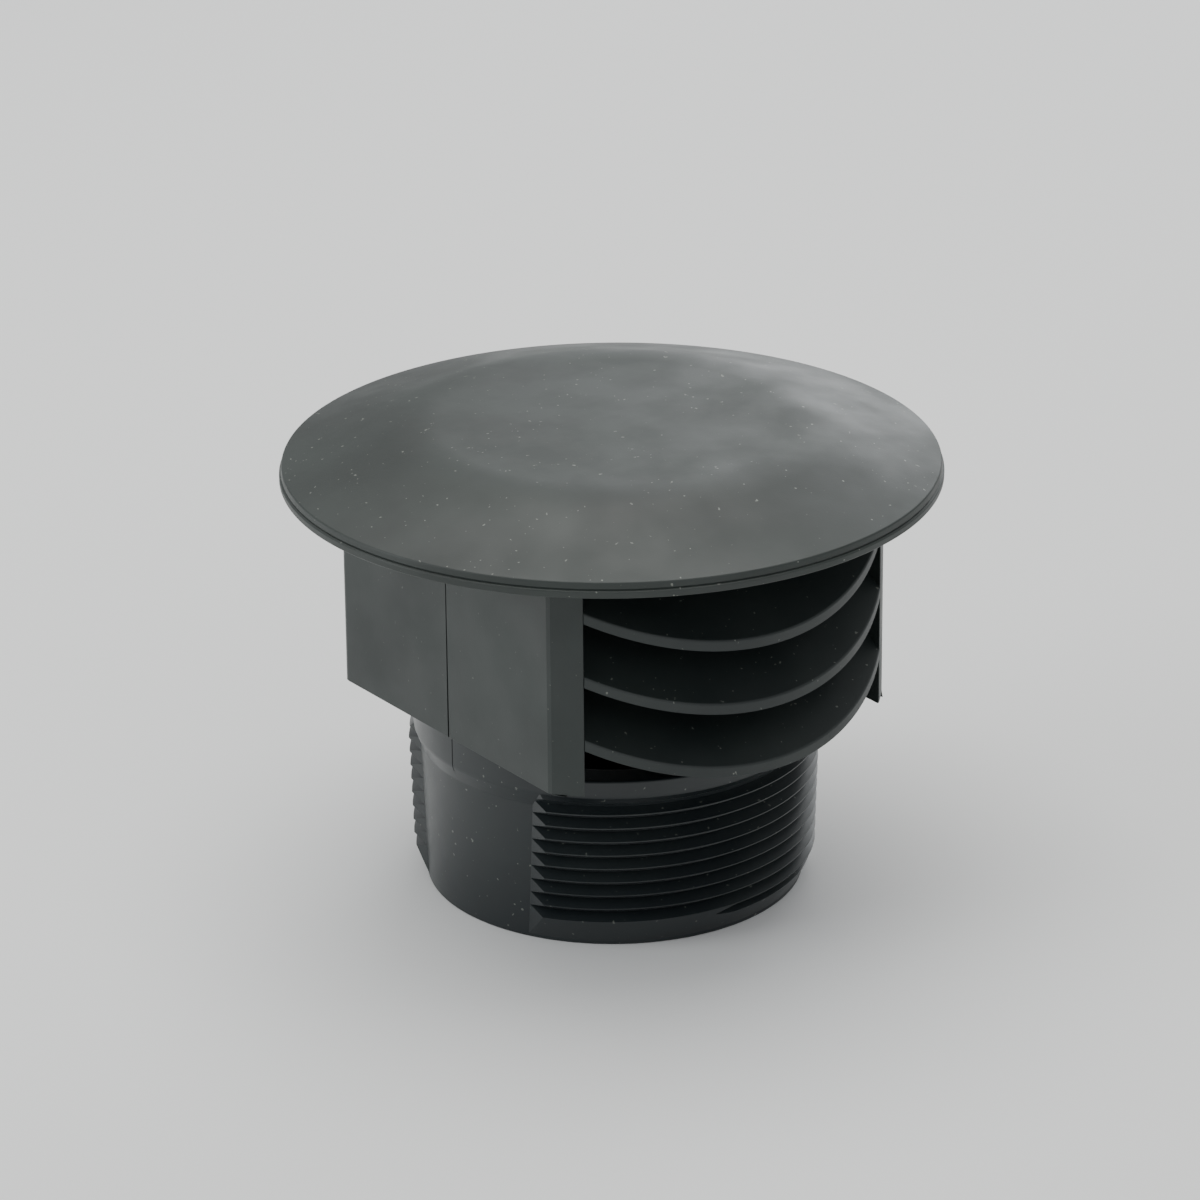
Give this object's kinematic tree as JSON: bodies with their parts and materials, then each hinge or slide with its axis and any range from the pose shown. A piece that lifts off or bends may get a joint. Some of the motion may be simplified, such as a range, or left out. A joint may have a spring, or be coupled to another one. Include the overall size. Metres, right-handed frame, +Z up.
{
  "type": "vent cap",
  "caption": "Mushroom vent cap with a domed lid over two opposed louvres of three sloping blades, on a neck with a tapered male pipe thread.",
  "frame": {"origin": "centre of the neck's lower face, which is the lowest face", "axes": "+Z up along the neck's axis to the crown of the cap; the louvres face -Y and +Y, and the flat side walls face -X and +X"},
  "size_m": [0.142, 0.142, 0.104],
  "materials": {
    "black_polypropylene": "fine matte moulded texture, slightly smoother on the neck"
  },
  "bodies": {
    "root": {"cap": "black_polypropylene", "neck": "black_polypropylene", "left_side_wall": "black_polypropylene", "right_side_wall": "black_polypropylene", "front_blade_bottom": "black_polypropylene", "front_blade_middle": "black_polypropylene", "front_blade_top": "black_polypropylene", "back_blade_bottom": "black_polypropylene", "back_blade_middle": "black_polypropylene", "back_blade_top": "black_polypropylene"}
  },
  "joints": []
}
